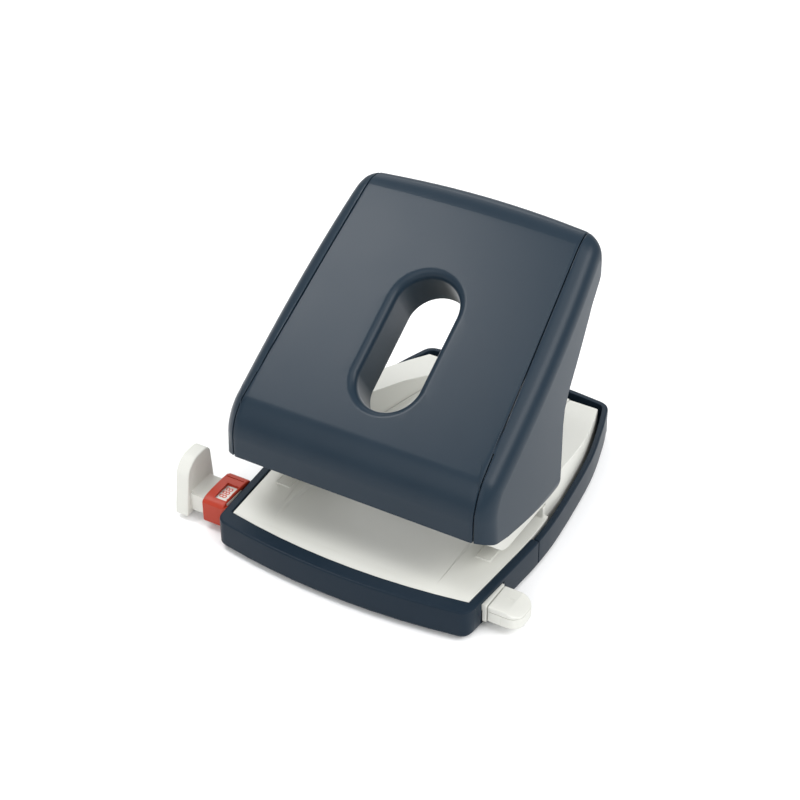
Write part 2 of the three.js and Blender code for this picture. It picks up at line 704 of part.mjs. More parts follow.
const endPiece = () => {
  const shape = new THREE.Shape();
  const x0 = guideRight - knobLength + gap;
  shape.moveTo(x0, guideFront);
  shape.lineTo(guideRight - 2, guideFront);
  shape.quadraticCurveTo(guideRight + 1.4, (guideFront + guideBack) / 2, guideRight - 2, guideBack);
  shape.lineTo(x0, guideBack);
  return prismZ(shape.getPoints(5).map((p) => [p.x, p.y]), guideLow, guideHigh);
};
addPart('guide_end_piece', 'pale', endPiece());

// ---- Red sleeve with the window that shows the paper format ----
const sleeve = () => {
  const profile = new THREE.Shape();
  profile.moveTo(sleeveFront, sleeveLow);
  profile.lineTo(sleeveBack, sleeveLow);
  profile.lineTo(sleeveBack, sleeveHigh - 1);
  profile.quadraticCurveTo((sleeveFront + sleeveBack) / 2, sleeveHigh + 4.2, sleeveFront + 1, sleeveHigh);
  profile.lineTo(sleeveFront, sleeveHigh - 1);
  const outline = profile.getPoints(6).map((p) => [p.x, p.y]);
  const outer = prismX(outline, -sleeveOuter, -baseHalfWidth + 1.2);
  const plug = box(
    -baseHalfWidth - 0.5, -baseHalfWidth + rimWall + 0.4, sleeveFront, sleeveBack, sleeveLow, sleeveHigh,
  );
  return cut(
    join(outer, plug),
    box(-outside, 11.3 - baseHalfWidth, guideFront - gap, guideBack + gap, guideLow - 0.2, guideHigh + gap),
    box(-outside, scaleEnd + gap, scaleFront - gap, scaleBack + gap, guideHigh, scaleTop + gap),
    box(3.4 - sleeveOuter, 8.5 - sleeveOuter, scaleFront + 0.2, scaleBack - 0.2, 8, 20),
  );
};
addPart('format_sleeve', 'red', sleeve());

// ---- Bowed strip that steadies the guide bar, the two front feet and the mat under the chip tray ----
const detent = () => {
  const strip = new THREE.Shape();
  strip.moveTo(-14, 2.9);
  strip.quadraticCurveTo(0, guideFront + 3.2, 14, 2.9);
  strip.lineTo(14, 2.3);
  strip.quadraticCurveTo(0, guideFront + 2.6, -14, 2.3);
  return prismZ(strip.getPoints(8).map((p) => [p.x, p.y]), floorTop + gap, 8.5);
};
addPart('guide_detent', 'steel', detent());
for (const [name, side] of sides) {
  addPart(`front_foot_${name}`, 'rubber', postZ(side * 38, 10, 5, 0, baseBottom - gap, 28));
}
const matPlan = () => {
  const [halfWidth, front, back, corner] = [30, 52, backY - 6, 6];
  const shape = new THREE.Shape();
  shape.absarc(halfWidth - corner, front + corner, corner, -Math.PI / 2, 0);
  shape.absarc(halfWidth - corner, back - corner, corner, 0, Math.PI / 2);
  shape.absarc(corner - halfWidth, back - corner, corner, Math.PI / 2, Math.PI);
  shape.absarc(corner - halfWidth, front + corner, corner, Math.PI, Math.PI * 1.5);
  return shape.getPoints(5).map((p) => [p.x, p.y]);
};
addPart('tray_mat', 'rubber', prismZ(matPlan(), 0, baseBottom - gap));

export default holePunch;
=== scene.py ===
# %% [markdown]
# # A desk hole punch, piece by piece
# The punch is a steel mechanism in moulded plastic covers. The shapes that carry the work come in
# from the CAD model, already at their true size and place. This lesson gives them their outside:
# the big rounded handle, softened edges, printed scale, and a finish for every piece.
# Sizes below are in millimetres on the drawing, whose Y starts at the line through the two front
# corners of the base. One helper turns them into the scene's metres.

# %% Load the frame
import json
import math

import bpy
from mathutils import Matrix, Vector

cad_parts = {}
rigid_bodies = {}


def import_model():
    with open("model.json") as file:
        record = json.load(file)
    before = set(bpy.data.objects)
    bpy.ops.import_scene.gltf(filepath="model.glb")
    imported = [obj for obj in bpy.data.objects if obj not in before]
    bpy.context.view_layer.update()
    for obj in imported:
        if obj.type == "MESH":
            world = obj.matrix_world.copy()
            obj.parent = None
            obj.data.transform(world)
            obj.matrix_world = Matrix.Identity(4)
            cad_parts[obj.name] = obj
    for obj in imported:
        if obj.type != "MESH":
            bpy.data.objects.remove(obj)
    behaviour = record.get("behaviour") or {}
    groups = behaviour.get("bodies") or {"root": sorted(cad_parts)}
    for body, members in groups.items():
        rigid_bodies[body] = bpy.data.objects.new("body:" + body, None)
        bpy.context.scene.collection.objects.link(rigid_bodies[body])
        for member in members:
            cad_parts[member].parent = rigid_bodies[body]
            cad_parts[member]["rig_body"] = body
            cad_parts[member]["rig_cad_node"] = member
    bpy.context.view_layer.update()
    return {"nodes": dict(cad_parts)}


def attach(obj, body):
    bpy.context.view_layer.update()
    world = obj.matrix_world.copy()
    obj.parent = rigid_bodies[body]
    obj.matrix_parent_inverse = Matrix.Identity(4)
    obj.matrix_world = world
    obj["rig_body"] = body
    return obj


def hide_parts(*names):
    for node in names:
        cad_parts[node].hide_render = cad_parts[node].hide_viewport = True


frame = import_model()
cad_nodes = frame["nodes"]
MM = 0.001
BASE_MIDDLE_Y = 61.0


def at(x, y, z):
    """A point of the drawing, in millimetres, as a place in the scene."""
    return Vector((x, y - BASE_MIDDLE_Y, z)) * MM


# %% [markdown]
# ## Working by hand, from a script
# Blender's operators act on whatever is selected. The helpers below clear the selection, pick one
# piece, and pick faces or edges by where they are, as a hand would with the mouse. That keeps each
# later step as short as its real action: add, cut, extrude, bevel, smooth.


# %% Helpers for picking and shaping
def pick(piece):
    if bpy.context.object and bpy.context.object.mode == "EDIT":
        bpy.ops.object.mode_set(mode="OBJECT")
    bpy.ops.object.select_all(action="DESELECT")
    piece.select_set(True)
    bpy.context.view_layer.objects.active = piece
    return piece


def new_piece(name):
    piece = bpy.context.object
    piece.name = name
    piece.data.name = name
    bpy.ops.object.transform_apply(location=True, rotation=True, scale=True)
    return piece


def block(name, low, high):
    """A block between two corners of the drawing, ready to be shaped."""
    low, high = at(*low), at(*high)
    bpy.ops.object.select_all(action="DESELECT")
    bpy.ops.mesh.primitive_cube_add(size=1, location=(low + high) / 2, scale=high - low)
    return new_piece(name)


def slice_off(piece, point, normal):
    """Cuts off what lies on the normal's side of a plane and closes the cut."""
    pick(piece)
    bpy.ops.object.mode_set(mode="EDIT")
    bpy.ops.mesh.select_all(action="SELECT")
    bpy.ops.mesh.bisect(plane_co=point, plane_no=normal, use_fill=True, clear_outer=True)
    bpy.ops.object.mode_set(mode="OBJECT")


def choose_edges(piece, wanted):
    """Selects the edges whose two ends both satisfy a test."""
    pick(piece)
    bpy.ops.object.mode_set(mode="EDIT")
    bpy.ops.mesh.select_mode(type="EDGE")
    bpy.ops.mesh.select_all(action="DESELECT")
    bpy.ops.object.mode_set(mode="OBJECT")
    spots = piece.data.vertices
    for edge in piece.data.edges:
        edge.select = all(wanted(spots[i].co / MM + Vector((0, BASE_MIDDLE_Y, 0))) for i in edge.vertices)
    bpy.ops.object.mode_set(mode="EDIT")


def bevel_chosen(width, segments, profile=0.5):
    """Rolls the chosen edges. A profile under a half makes a hollow instead."""
    bpy.ops.mesh.bevel(
        offset=width * MM, segments=segments, profile=profile, affect="EDGES", clamp_overlap=False
    )
    bpy.ops.object.mode_set(mode="OBJECT")


def roll(piece, wanted, width, segments, profile=0.5):
    """Rolls the edges whose two ends both satisfy a test."""
    choose_edges(piece, wanted)
    bevel_chosen(width, segments, profile)


def apply_modifier(piece, kind, **settings):
    pick(piece)
    modifier = piece.modifiers.new(kind.lower(), kind)
    for name, value in settings.items():
        setattr(modifier, name, value)
    bpy.ops.object.modifier_apply(modifier=modifier.name)


def round_sharp_edges(piece, width, segments, degrees, **settings):
    """Rounds every edge at which two faces meet at more than a given angle."""
    apply_modifier(
        piece, "BEVEL", width=width * MM, segments=segments, limit_method="ANGLE",
        angle_limit=math.radians(degrees), **settings,
    )


def combine(piece, tool, operation):
    """Adds, takes away or keeps the common part of a tool, which is used up."""
    apply_modifier(piece, "BOOLEAN", object=tool, operation=operation, solver="MANIFOLD")
    bpy.data.objects.remove(tool)


def copy_of(piece, name):
    pick(piece)
    bpy.ops.object.duplicate()
    return new_piece(name)


def smooth(piece, degrees):
    pick(piece)
    bpy.ops.object.shade_smooth_by_angle(angle=math.radians(degrees))


print("helpers ready")

# %% [markdown]
# ## Finishes
# Each finish starts from the real material. A colour is written as it looks on a screen, so one
# function turns it into the linear light that the renderer works in. One more small function adds
# a node, its settings and its links, which keeps each material readable from top to bottom.


# %% Colour and node helpers
def linear(hex_colour):
    channels = [int(hex_colour[i : i + 2], 16) / 255 for i in (1, 3, 5)]
    return [c / 12.92 if c <= 0.04045 else ((c + 0.055) / 1.055) ** 2.4 for c in channels] + [1.0]


def add_node(material, kind, settings=None, **inputs):
    """Adds a node. Each input is a value, or a link given as (node, output name)."""
    node = material.node_tree.nodes.new(kind)
    for name, value in (settings or {}).items():
        setattr(node, name, value)
    for name, value in inputs.items():
        spaced = name.replace("_", " ")
        socket = node.inputs[spaced if spaced in node.inputs else name]
        if isinstance(value, tuple) and isinstance(value[0], bpy.types.Node):
            material.node_tree.links.new(value[0].outputs[value[1]], socket)
        else:
            socket.default_value = value
    return node


def new_material(name):
    material = bpy.data.materials.new(name)
    material.use_nodes = True
    shader = material.node_tree.nodes["Principled BSDF"]
    places = add_node(material, "ShaderNodeTexCoord")
    return material, shader, places


def link(material, source, output, target, socket):
    material.node_tree.links.new(source.outputs[output], target.inputs[socket])


# A colour mix has sockets of the same name for each kind of value, so these three go by number
MIX_FIRST, MIX_SECOND, MIX_RESULT = 6, 7, 2


def mix_colours(material, shader, factor, first, second):
    """Lets a pattern mix two close colours, so that a surface isn't one flat tone."""
    tint = add_node(material, "ShaderNodeMix", {"data_type": "RGBA"}, Factor=factor)
    tint.inputs[MIX_FIRST].default_value = linear(first)
    tint.inputs[MIX_SECOND].default_value = linear(second)
    link(material, tint, MIX_RESULT, shader, "Base Color")


def vary_gloss(material, shader, pattern, output, smoothest, roughest):
    gloss = add_node(material, "ShaderNodeMapRange", Value=(pattern, output))
    gloss.inputs["To Min"].default_value = smoothest
    gloss.inputs["To Max"].default_value = roughest
    link(material, gloss, "Result", shader, "Roughness")


# %% [markdown]
# ### Moulded ABS
# ABS for desk goods is moulded in a steel tool whose face was spark-eroded, so its skin has a very
# fine even grain that spreads highlights into a satin sheen. The real grain is about 0.05 mm. It is
# drawn at 0.25 mm here so that it still shows as a soft break-up and not as noise. A second, much
# wider pattern varies the gloss a little, as handling and flow in the tool do.


# %% Moulded ABS in any colour
CLOUD_SIZE = 18
GRAIN_SIZE = 0.25
GRAIN_DEPTH = 0.004


def moulded_abs(name, colour, lighter, roughness, reflection):
    material, shader, places = new_material(name)
    cloud = add_node(
        material, "ShaderNodeTexNoise",
        Vector=(places, "Object"), Scale=1 / (CLOUD_SIZE * MM), Detail=2.0,
    )
    mix_colours(material, shader, (cloud, "Fac"), colour, lighter)
    vary_gloss(material, shader, cloud, "Fac", roughness - 0.03, roughness + 0.04)
    grain = add_node(
        material, "ShaderNodeTexNoise",
        Vector=(places, "Object"), Scale=1 / (GRAIN_SIZE * MM), Detail=3.0, Roughness=0.6,
    )
    bump = add_node(
        material, "ShaderNodeBump", Height=(grain, "Fac"), Strength=0.25, Distance=GRAIN_DEPTH * MM
    )
    link(material, bump, "Normal", shader, "Normal")
    shader.inputs["IOR"].default_value = 1.53
    shader.inputs["Specular IOR Level"].default_value = reflection
    return material


# The base and the handle are one slate plastic of one colour. The base's copy is set a little darker than
# the handle's, and that darker tone is painted shade on the base, which sits below the handle.
slate_abs_painted_shade = moulded_abs("ABS_moulded_slate_painted_shade", "#16222D", "#1A2631", 0.36, 0.08)
handle_abs = moulded_abs("ABS_satin_slate_handle", "#1A2732", "#1E2B36", 0.31, 0.16)
pale_abs = moulded_abs("ABS_moulded_pale_grey", "#C9C9C2", "#CDCDC7", 0.48, 0.35)
red_abs = moulded_abs("ABS_moulded_red", "#9C2F1B", "#A33522", 0.38, 0.22)
print("ABS finishes:", slate_abs_painted_shade.name, handle_abs.name, pale_abs.name, red_abs.name)

# %% [markdown]
# ### Zinc-plated steel and rubber
# The punches, brackets and springs are pressed or turned steel with a thin bright zinc coat. It is
# a metal, so its colour is its reflection, a little blotchy where the zinc crystals differ. The
# feet are solid rubber: nearly black, rough and dry.


# %% Zinc plate and rubber
SPANGLE_SIZE = 2.5
GRIT_SIZE = 0.4


def zinc_plate(name):
    material, shader, places = new_material(name)
    spangle = add_node(
        material, "ShaderNodeTexVoronoi", Vector=(places, "Object"), Scale=1 / (SPANGLE_SIZE * MM)
    )
    mix_colours(material, shader, (spangle, "Distance"), "#C9CBCC", "#B4B7BA")
    vary_gloss(material, shader, spangle, "Distance", 0.26, 0.38)
    shader.inputs["Metallic"].default_value = 1.0
    return material


def solid_rubber(name):
    material, shader, places = new_material(name)
    grit = add_node(
        material, "ShaderNodeTexNoise", Vector=(places, "Object"), Scale=1 / (GRIT_SIZE * MM), Detail=4.0
    )
    mix_colours(material, shader, (grit, "Fac"), "#1D1F21", "#2A2C2E")
    bump = add_node(material, "ShaderNodeBump", Height=(grit, "Fac"), Strength=0.4, Distance=0.02 * MM)
    link(material, bump, "Normal", shader, "Normal")
    shader.inputs["Roughness"].default_value = 0.78
    return material


zinc = zinc_plate("zinc_plated_steel")
rubber = solid_rubber("solid_black_rubber")
print("metal and rubber:", zinc.name, rubber.name)

# %% [markdown]
# ## Every CAD node gets its finish
# Each node takes its finish by name from the lists below; a node that isn't listed is zinc-plated steel.


# %% Finish the CAD nodes
def wear(piece, material):
    piece.data.materials.clear()
    piece.data.materials.append(material)


slate_nodes = ["front_rim", "chip_tray"]
handle_nodes = ["handle_cover", "handle_cheek_left", "handle_cheek_right", "handle_underside"]
red_nodes = ["format_sleeve"]
pale_nodes = [
    "paper_deck", "head_cover_left", "head_cover_right", "rear_deck",
    "guide_bar", "end_stop", "guide_end_piece",
]
rubber_nodes = ["front_foot_left", "front_foot_right", "tray_mat"]
for name, node in cad_nodes.items():
    if name in slate_nodes:
        wear(node, slate_abs_painted_shade)
    elif name in handle_nodes:
        wear(node, handle_abs)
    elif name in pale_nodes:
        wear(node, pale_abs)
    elif name in red_nodes:
        wear(node, red_abs)
    elif name in rubber_nodes:
        wear(node, rubber)
    else:
        wear(node, zinc)
print("finished nodes:", len(cad_nodes))

# %% [markdown]
# ## The handle
# The real handle is a deep moulded hood: a flat sloping top that rolls over a big nose at the
# front, and rounds into the cheeks and into the back edge. It could be sculpted with a subdivision
# surface, but its faces are plain planes, so cutting a block with planes and rolling its edges with
# bevels gives the same clean highlights with exact radii. The two edges across the punch are rolled
# first, because their radii are bigger than the side rounding that then runs along them.

# %% Handle: planes of the block
SLOPE = 0.63
TOP_AT_FRONT = 47.65
EDGE_ROUND = 7.4
NOSE_ROUND = 16.5
NOSE_PLANE_Y = 6.7
REAR_Y, REAR_Z = 101.05, 95.0
REAR_LEAN = (0.164, 0.986)
SIDE_X, SIDE_PER_Y, SIDE_PER_Z = 53.5, 0.0325, 0.0422
KEEP_BELOW = 22.0
HANDLE_WALL = 2.0


def handle_form(name, skin):
    """The handle's solid outer form, moved inwards by a skin thickness."""
    body = block(name, (-60, -5, KEEP_BELOW), (60, 130, 125))
    slice_off(body, at(0, 0, TOP_AT_FRONT - skin * math.hypot(1, SLOPE)), (0, -SLOPE, 1))
    slice_off(body, at(0, NOSE_PLANE_Y + skin, 0), (0, -1, 0))
    lean_y, lean_z = REAR_LEAN
    slice_off(body, at(0, REAR_Y - skin, REAR_Z), (0, lean_z, -lean_y))
    for side in (-1, 1):
        slice_off(body, at(side * (SIDE_X - skin), 0, 0), (side, SIDE_PER_Y, SIDE_PER_Z))
    return body


outer = handle_form("handle_outer", 0)
inner = handle_form("handle_inner", HANDLE_WALL)
print("handle blocks have", len(outer.data.vertices), "and", len(inner.data.vertices), "corners")

# %% [markdown]
# A rounding of radius R between two faces starts R / tan(half the angle between them) away from
# their edge, so each bevel's width comes from its own radius and angle. After the long edges are
# rolled, each side's outline is rolled in one go, and the back edge is bowed: its middle stands a
# little further back than its corners, as the real grip does.

# %% Handle: roll the edges
REAR_ROUND = 9.5
BACK_BOW = 3.2
BOW_STARTS_Y = 70.0
SIDE_CROWN = 1.8
top_normal = (0, -SLOPE, 1)
rear_normal = (0, REAR_LEAN[1], -REAR_LEAN[0])


def rounding_width(radius, first_normal, second_normal):
    half_angle = (math.pi - Vector(first_normal).angle(Vector(second_normal))) / 2
    return radius / math.tan(half_angle)


def roll_edges(body, skin):
    def on_top(p):
        return p.z > TOP_AT_FRONT + SLOPE * p.y - skin * 1.2 - 0.5

    rear_width = rounding_width(REAR_ROUND - skin, top_normal, rear_normal)
    roll(body, lambda p: on_top(p) and p.y > 90, rear_width, 14)
    nose_width = rounding_width(NOSE_ROUND - skin, top_normal, (0, -1, 0))
    roll(body, lambda p: on_top(p) and p.y < 12, nose_width, 16)
    reach = SIDE_X - skin * math.hypot(1, SIDE_PER_Y, SIDE_PER_Z)
    for side in (-1, 1):
        choose_edges(
            body, lambda p: abs(side * p.x + SIDE_PER_Y * p.y + SIDE_PER_Z * p.z - reach) < 0.3
        )
        leave_low_edges(body)
        bevel_chosen(EDGE_ROUND - skin, 12)


def leave_low_edges(body):
    """Unselects the edges that lie along the open underside."""
    bpy.ops.object.mode_set(mode="OBJECT")
    for edge in body.data.edges:
        if all(body.data.vertices[i].co.z / MM < KEEP_BELOW + 1 for i in edge.vertices):
            edge.select = False
    bpy.ops.object.mode_set(mode="EDIT")


def score(body, point, normal):
    """Draws a line of edges round a piece where a plane meets it, so that it can bend there."""
    pick(body)
    bpy.ops.object.mode_set(mode="EDIT")
    bpy.ops.mesh.select_all(action="SELECT")
    bpy.ops.mesh.bisect(plane_co=point, plane_no=normal)
    bpy.ops.object.mode_set(mode="OBJECT")


def crown_and_bow(body):
    for y in range(22, 112, 6):
        score(body, at(0, y, 0), (0, 1, 0))
    for x in range(-36, 37, 6):
        score(body, at(x, 0, 0), (1, 0, 0))
    for vertex in body.data.vertices:
        y = vertex.co.y / MM + BASE_MIDDLE_Y
        across = vertex.co.x / (40 * MM)
        crown = SIDE_CROWN * max(0.0, math.sin(math.pi * (y - 10) / 95))
        back = max(0.0, (y - BOW_STARTS_Y) / (107 - BOW_STARTS_Y)) ** 2
        vertex.co.x += crown * MM * max(-1.0, min(1.0, across)) ** 3
        vertex.co.y -= BACK_BOW * MM * back * across**2
        vertex.co.z -= BACK_BOW * SLOPE * MM * back * across**2


for body, skin in ((outer, 0), (inner, HANDLE_WALL)):
    roll_edges(body, skin)
    print(body.name, "rolled:", len(body.data.polygons), "faces")

# %% [markdown]
# ## Hollow it and cut its underside
# A moulding has walls of one thickness, so the smaller form is taken out of the bigger one. The
# open underside follows a line that drops from the nose over the punch heads and then climbs up the
# back of the cheeks. That line is drawn once and pushed through as a solid, then taken away.


# %% A solid with a drawn outline
def prism(name, outline, low_x, high_x):
    """Pushes an outline of (Y, Z) points through from one X to another."""
    bpy.ops.object.select_all(action="DESELECT")
    bpy.ops.mesh.primitive_circle_add(vertices=len(outline), radius=1, fill_type="NGON")
    piece = new_piece(name)
    for vertex, (y, z) in zip(piece.data.vertices, outline):
        vertex.co = at(low_x, y, z)
    bpy.ops.object.mode_set(mode="EDIT")
    bpy.ops.mesh.select_all(action="SELECT")
    bpy.ops.mesh.extrude_region_move(TRANSFORM_OT_translate={"value": ((high_x - low_x) * MM, 0, 0)})
    bpy.ops.mesh.select_all(action="SELECT")
    bpy.ops.mesh.normals_make_consistent(inside=False)
    bpy.ops.object.mode_set(mode="OBJECT")
    return piece


underside_line = [
    (7.6, 35), (12, 33), (20.4, 30.8), (36.6, 28.4), (54, 26), (56.6, 26.3), (57.6, 28.5), (58.8, 39.7),
    (59.8, 49.9), (61.2, 55.9), (64.4, 61), (70.6, 67.8), (84.2, 83.4), (93.6, 91), (108, 99),
]
below = prism("below_handle", [(-8, 38), *underside_line, (140, 99), (140, 5), (-8, 5)], -70, 70)
for body in (outer, inner):
    crown_and_bow(body)
shell = outer
combine(shell, below, "DIFFERENCE")
combine(shell, inner, "DIFFERENCE")
print("handle shell:", len(shell.data.polygons), "faces")

# %% [markdown]
# ## The finger slot
# The slot runs square to the sloping top, with straight walls and a soft lip. Its tool is a round
# bar pulled apart into a long one, whose top is widened step by step along a quarter circle: taken
# out of the cover, it leaves the rounded lip behind.

# %% Slot tool
SLOT_HALF_WIDTH = 11.5
SLOT_STRAIGHT = 13.9
SLOT_MIDDLE_Y = 44.3
SLOT_DEPTH = 17.0
SLOT_LIP = 3.2
SLOT_WALL = 3.0
LIP_STEPS = 8
slope_angle = math.atan(SLOPE)


def long_bar(name, half_width, depth, above):
    """A bar with round ends, square to the handle's top, from a depth below it to a height above."""
    bpy.ops.object.select_all(action="DESELECT")
    bpy.ops.mesh.primitive_cylinder_add(vertices=64, radius=half_width * MM, depth=(depth + above) * MM)
    piece = new_piece(name)
    for vertex in piece.data.vertices:
        vertex.co.y += math.copysign(SLOT_STRAIGHT * MM, vertex.co.y + 1e-9)
        vertex.co.z += (above - depth) / 2 * MM
    return piece


def lay_on_top(piece):
    """Tilts a piece made at the origin so that its Z stands square to the handle's top."""
    pick(piece)
    piece.rotation_euler = (slope_angle, 0, 0)
    piece.location = at(0, SLOT_MIDDLE_Y, TOP_AT_FRONT + SLOPE * SLOT_MIDDLE_Y)
    bpy.ops.object.transform_apply(location=True, rotation=True, scale=True)


def widen_top(piece, height, outwards):
    """Pushes the top face up to a height and its outline outwards from the bar's long middle line."""
    pick(piece)
    bpy.ops.object.mode_set(mode="EDIT")
    bpy.ops.mesh.select_mode(type="FACE")
    bpy.ops.mesh.select_all(action="DESELECT")
    bpy.ops.object.mode_set(mode="OBJECT")
    top = max(piece.data.polygons, key=lambda face: face.center.z)
    top.select = True
    bpy.ops.object.mode_set(mode="EDIT")
    bpy.ops.mesh.extrude_region_move(TRANSFORM_OT_translate={"value": (0, 0, height * MM - top.center.z)})
    bpy.ops.object.mode_set(mode="OBJECT")
    for vertex in piece.data.vertices:
        if abs(vertex.co.z - height * MM) < 1e-7:
            middle = Vector((0, math.copysign(SLOT_STRAIGHT * MM, vertex.co.y), vertex.co.z))
            away = vertex.co - middle
            vertex.co = middle + away.normalized() * (SLOT_HALF_WIDTH + outwards) * MM


slot_tool = long_bar("slot_tool", SLOT_HALF_WIDTH, SLOT_DEPTH + 4, -SLOT_LIP)
for step in range(1, LIP_STEPS + 1):
    angle = step / LIP_STEPS * math.pi / 2
    widen_top(slot_tool, -SLOT_LIP * (1 - math.sin(angle)), SLOT_LIP * (1 - math.cos(angle)))
widen_top(slot_tool, 3.0, SLOT_LIP + 0.02)
tube = long_bar("slot_tube", SLOT_HALF_WIDTH + SLOT_WALL, SLOT_DEPTH, -HANDLE_WALL / 2)
lay_on_top(slot_tool)
lay_on_top(tube)
print("slot tool:", len(slot_tool.data.vertices), "vertices")

# %% [markdown]
# ## Split it into the cover and two cheeks
# The real handle is three mouldings in one satin finish: a top cover and a cheek on each side. They
# meet along a fine groove that runs low on the side rounding. The cover keeps what lies between two
# upright planes, each cheek what lies outside one of them, and the cut edges are broken slightly so
# that the groove catches a line of light.

# %% Cover and cheeks
SEAM_X, SEAM_PER_Y = 46.7, 0.066
SEAM_GAP = 0.3
SEAM_EDGE = 0.35


def seam_slab(name, clearance):
    slab = block(name, (-80, -20, 0), (80, 150, 140))
    for side in (-1, 1):
        slice_off(slab, at(side * (SEAM_X + clearance), 0, 0), (side, SEAM_PER_Y, 0))
    return slab


def break_seam_edges(piece, clearance):
    reach = SEAM_X + clearance
    roll(piece, lambda p: abs(abs(p.x) + SEAM_PER_Y * p.y - reach) < 0.01, SEAM_EDGE, 2)


cover = copy_of(shell, "handle_cover_moulding")
combine(cover, seam_slab("inside_seams", -SEAM_GAP / 2), "INTERSECT")
break_seam_edges(cover, -SEAM_GAP / 2)
combine(cover, tube, "UNION")
combine(cover, slot_tool, "DIFFERENCE")
cheeks = {}
for name, side in (("left", -1), ("right", 1)):
    cheek = copy_of(shell, f"handle_cheek_{name}_moulding")
    combine(cheek, seam_slab("inside_seams", SEAM_GAP / 2), "DIFFERENCE")
    slice_off(cheek, at(0, 0, 0), (-side, 0, 0))
    break_seam_edges(cheek, SEAM_GAP / 2)
    cheeks[name] = cheek
bpy.data.objects.remove(shell)
print("cover and", len(cheeks), "cheeks, with a groove of", SEAM_GAP, "mm between them")


# %% Finish the handle's three mouldings
def dress(piece, material, slot, body, *nodes, degrees=30):
    """Smooths a finished piece, gives it its finish and puts it in the place of CAD nodes."""
    smooth(piece, degrees)
    apply_modifier(piece, "WEIGHTED_NORMAL", keep_sharp=True, weight=60)
    wear(piece, material)
    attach(piece, body)
    if nodes:
        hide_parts(*nodes)
    print(piece.name, "faces:", len(piece.data.polygons))


dress(cover, handle_abs, "slate_handle", "handle", "handle_cover")
for name, cheek in cheeks.items():
    dress(cheek, handle_abs, "slate_handle", "handle", f"handle_cheek_{name}")

# %% [markdown]
# ## Softened copies of the other mouldings
# No moulded or pressed edge is perfectly sharp: the tool's corners and the tumbling of the parts
# leave a small radius, and that radius is what catches the light along every edge. The CAD solids
# have the right shapes but sharp edges, so each one is copied, its loose triangles are merged and
# its flat faces joined, and its sharp edges are rounded by a few tenths of a millimetre. The deck is
# smoothed only where faces nearly line up, so that the slopes round its sunk middle keep their creases.


# %% Softened copy of a CAD node
def softened(node_name, round_mm, material, slot, smooth_degrees=35):
    node = cad_nodes[node_name]
    body = node["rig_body"]
    piece = copy_of(node, f"{node_name}_finished")
    piece.parent = None
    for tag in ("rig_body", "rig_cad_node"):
        del piece[tag]
    bpy.ops.object.mode_set(mode="EDIT")
    bpy.ops.mesh.select_all(action="SELECT")
    bpy.ops.mesh.remove_doubles(threshold=0.002 * MM)
    bpy.ops.mesh.customdata_custom_splitnormals_clear()
    bpy.ops.mesh.dissolve_limited(angle_limit=math.radians(1.0))
    bpy.ops.object.mode_set(mode="OBJECT")
    round_sharp_edges(piece, round_mm, 2, 38, use_clamp_overlap=False, miter_outer="MITER_SHARP")
    dress(piece, material, slot, body, node_name, degrees=smooth_degrees)


for node_name, round_mm in (("front_rim", 0.35), ("chip_tray", 0.35)):
    softened(node_name, round_mm, slate_abs_painted_shade, "slate")
softened("handle_underside", 0.25, handle_abs, "slate_handle")
softened("paper_deck", 0.25, pale_abs, "pale", smooth_degrees=9)
for node_name, round_mm in (("rear_deck", 0.3), ("guide_bar", 0.3)):
    softened(node_name, round_mm, pale_abs, "pale")
for side_name in ("left", "right"):
    softened(f"head_cover_{side_name}", 0.35, pale_abs, "pale")

# %% [markdown]
# ## The end piece on the right of the guide
# The right end of the paper guide is a small pale knob: flat sides, a round end to push with a
# fingertip, and a top that falls away towards that end. It is moulded in two halves that leave a
# fine line round it, and the mould left a shallow round mark on its top. It starts as a block whose
# two outer corners are rolled, and the line is cut by a ring made from a smaller copy of itself.

# %% Guide knob
BAR_MIDDLE_Y = 13.9
knob = block("guide_knob", (51.7, 7.8, 3.6), (63.3, 20.0, 9.9))
slice_off(knob, at(58.6, 0, 9.9), (0.38, 0, 1))
for is_corner in (lambda p: p.x > 63.2 and p.y < 7.9, lambda p: p.x > 63.2 and p.y > 19.9):
    roll(knob, is_corner, 4.4, 10)
core = copy_of(knob, "knob_core")
bpy.ops.object.mode_set(mode="EDIT")
bpy.ops.mesh.select_all(action="SELECT")
bpy.ops.transform.resize(value=(0.96, 0.96, 2.0), center_override=at(57.6, BAR_MIDDLE_Y, 7.0))
bpy.ops.object.mode_set(mode="OBJECT")
split_line = block("knob_split_line", (50, 5, 7.7), (66, 23, 7.95))
combine(split_line, core, "DIFFERENCE")
round_sharp_edges(knob, 0.4, 3, 35)
combine(knob, split_line, "DIFFERENCE")
combine(knob, block("knob_notch", (56.6, 7.0, 3.0), (57.9, 7.9, 7.4)), "DIFFERENCE")
bpy.ops.object.select_all(action="DESELECT")
mark_place = at(56.6, BAR_MIDDLE_Y, 10.3)
bpy.ops.mesh.primitive_cylinder_add(vertices=32, radius=1.5 * MM, depth=1 * MM, location=mark_place)
combine(knob, new_piece("mould_mark"), "DIFFERENCE")
dress(knob, pale_abs, "pale", "guide", "guide_end_piece", degrees=40)

# %% [markdown]
# ## The end stop on the left
# The paper's edge leans on this upright fin. It tapers upwards, with a wide round on its front top
# corner and a tighter one behind, and every edge is soft because fingers pull on it. A concave root
# joins it to the bar, as mouldings need where a wall stands on a plate.

# %% End stop
fin = prism("end_stop_fin", [(4.6, 1.8), (22.0, 1.8), (20.5, 23.55), (7.5, 23.0)], -71.8, -66.5)
roll(fin, lambda p: p.z > 22 and p.y > 18, 3.2, 8)
roll(fin, lambda p: p.z > 22 and p.y < 9, 6.0, 10)
round_sharp_edges(fin, 0.55, 4, 40)
root = block("end_stop_root", (-67.4, 8.2, 9.9), (-64.6, 19.6, 12.4))
roll(root, lambda p: p.z > 12.3 and p.x > -64.7, 2.3, 8, profile=0.12)
combine(fin, root, "UNION")
dress(fin, pale_abs, "pale", "guide", "end_stop", degrees=35)

